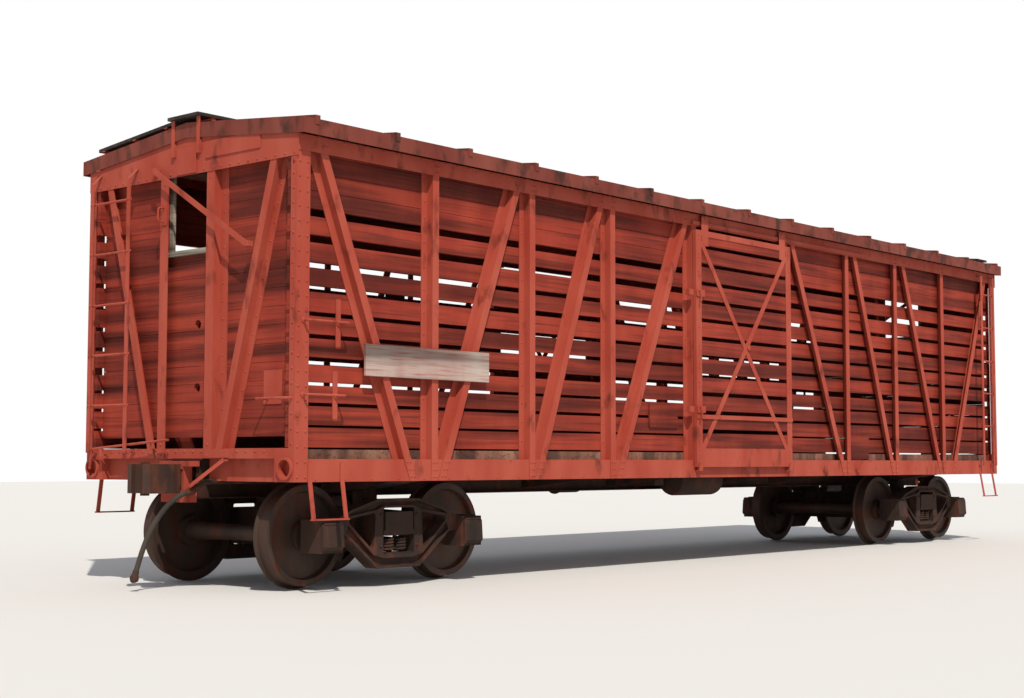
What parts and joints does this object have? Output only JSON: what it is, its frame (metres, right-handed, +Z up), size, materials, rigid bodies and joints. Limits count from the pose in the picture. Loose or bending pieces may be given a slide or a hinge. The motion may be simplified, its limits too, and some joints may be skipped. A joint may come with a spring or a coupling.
{
  "type": "stock car",
  "caption": "Riveted steel-framed railway stock car with spaced board sides, sliding doors, end ladders, couplers and swivelling two-axle trucks.",
  "frame": {"origin": "middle of the car's bounding box, at the level of the wheel flanges' lowest points", "axes": "+X along the car towards the hand brake end, +Y across it, +Z up; the nearer side faces -Y and end A faces -X"},
  "size_m": [13.64, 2.99, 3.9524],
  "materials": {
    "body_steel": "faded, rusty oxide red",
    "underframe_steel": "dirty dark brown",
    "truck_iron": "sooty and rusty",
    "wheel_steel": "brown with worn treads",
    "painted_wood": "weathered oxide red boards",
    "bare_wood": "grey bare planks",
    "dark_wood": "weathered nearly black",
    "roof_steel": "weathered brownish red",
    "coupler_steel": "rust brown"
  },
  "bodies": {
    "carbody": {"board_brackets": "body_steel", "body_bolsters": "underframe_steel", "carlines": "body_steel", "centre_sill": "underframe_steel", "corner_posts": "body_steel", "couplers": "coupler_steel", "crossbearers": "underframe_steel", "door_tracks": "body_steel", "end_boards": "painted_wood", "end_braces": "body_steel", "end_plates": "body_steel", "end_posts": "body_steel", "end_sills": "body_steel", "floor": "bare_wood", "hatch_planks": "bare_wood", "roof": "roof_steel", "roof_seams": "roof_steel", "running_boards": "dark_wood", "side_boards": "painted_wood", "side_braces": "body_steel", "side_posts": "body_steel", "side_sills": "body_steel", "sill_steps": "body_steel", "strikers": "body_steel", "top_chords": "body_steel", "uncoupling_levers": "body_steel"},
    "truck_a": {"bolster_a": "truck_iron", "brake_beams_a": "truck_iron", "side_frames_a": "truck_iron", "springs_a": "truck_iron"},
    "truck_b": {"bolster_b": "truck_iron", "brake_beams_b": "truck_iron", "side_frames_b": "truck_iron", "springs_b": "truck_iron"},
    "door_near": {"door_boards_near": "painted_wood", "door_frame_near": "body_steel"},
    "door_far": {"door_boards_far": "painted_wood", "door_frame_far": "body_steel"},
    "wheelset_a1": {"wheelset_a1": "wheel_steel"},
    "wheelset_a2": {"wheelset_a2": "wheel_steel"},
    "wheelset_b1": {"wheelset_b1": "wheel_steel"},
    "wheelset_b2": {"wheelset_b2": "wheel_steel"}
  },
  "joints": [
    {"name": "truck_a_swivel", "type": "hinge", "parent": "carbody", "child": "truck_a", "pos_m": [-4.867, 0, 0.66], "axis": [0, 0, 1], "range_deg": [-8, 8]},
    {"name": "truck_b_swivel", "type": "hinge", "parent": "carbody", "child": "truck_b", "pos_m": [4.867, 0, 0.66], "axis": [0, 0, 1], "range_deg": [-8, 8]},
    {"name": "wheelset_a1_spin", "type": "hinge", "parent": "truck_a", "child": "wheelset_a1", "pos_m": [-5.705, 0, 0.4445], "axis": [0, 1, 0], "continuous": true},
    {"name": "wheelset_a2_spin", "type": "hinge", "parent": "truck_a", "child": "wheelset_a2", "pos_m": [-4.029, 0, 0.4445], "axis": [0, 1, 0], "continuous": true},
    {"name": "wheelset_b1_spin", "type": "hinge", "parent": "truck_b", "child": "wheelset_b1", "pos_m": [5.705, 0, 0.4445], "axis": [0, 1, 0], "continuous": true},
    {"name": "wheelset_b2_spin", "type": "hinge", "parent": "truck_b", "child": "wheelset_b2", "pos_m": [4.029, 0, 0.4445], "axis": [0, 1, 0], "continuous": true},
    {"name": "door_near_slide", "type": "slide", "parent": "carbody", "child": "door_near", "axis": [1, 0, 0], "range_m": [0, 1.62]},
    {"name": "door_far_slide", "type": "slide", "parent": "carbody", "child": "door_far", "axis": [-1, 0, 0], "range_m": [0, 1.62]}
  ]
}
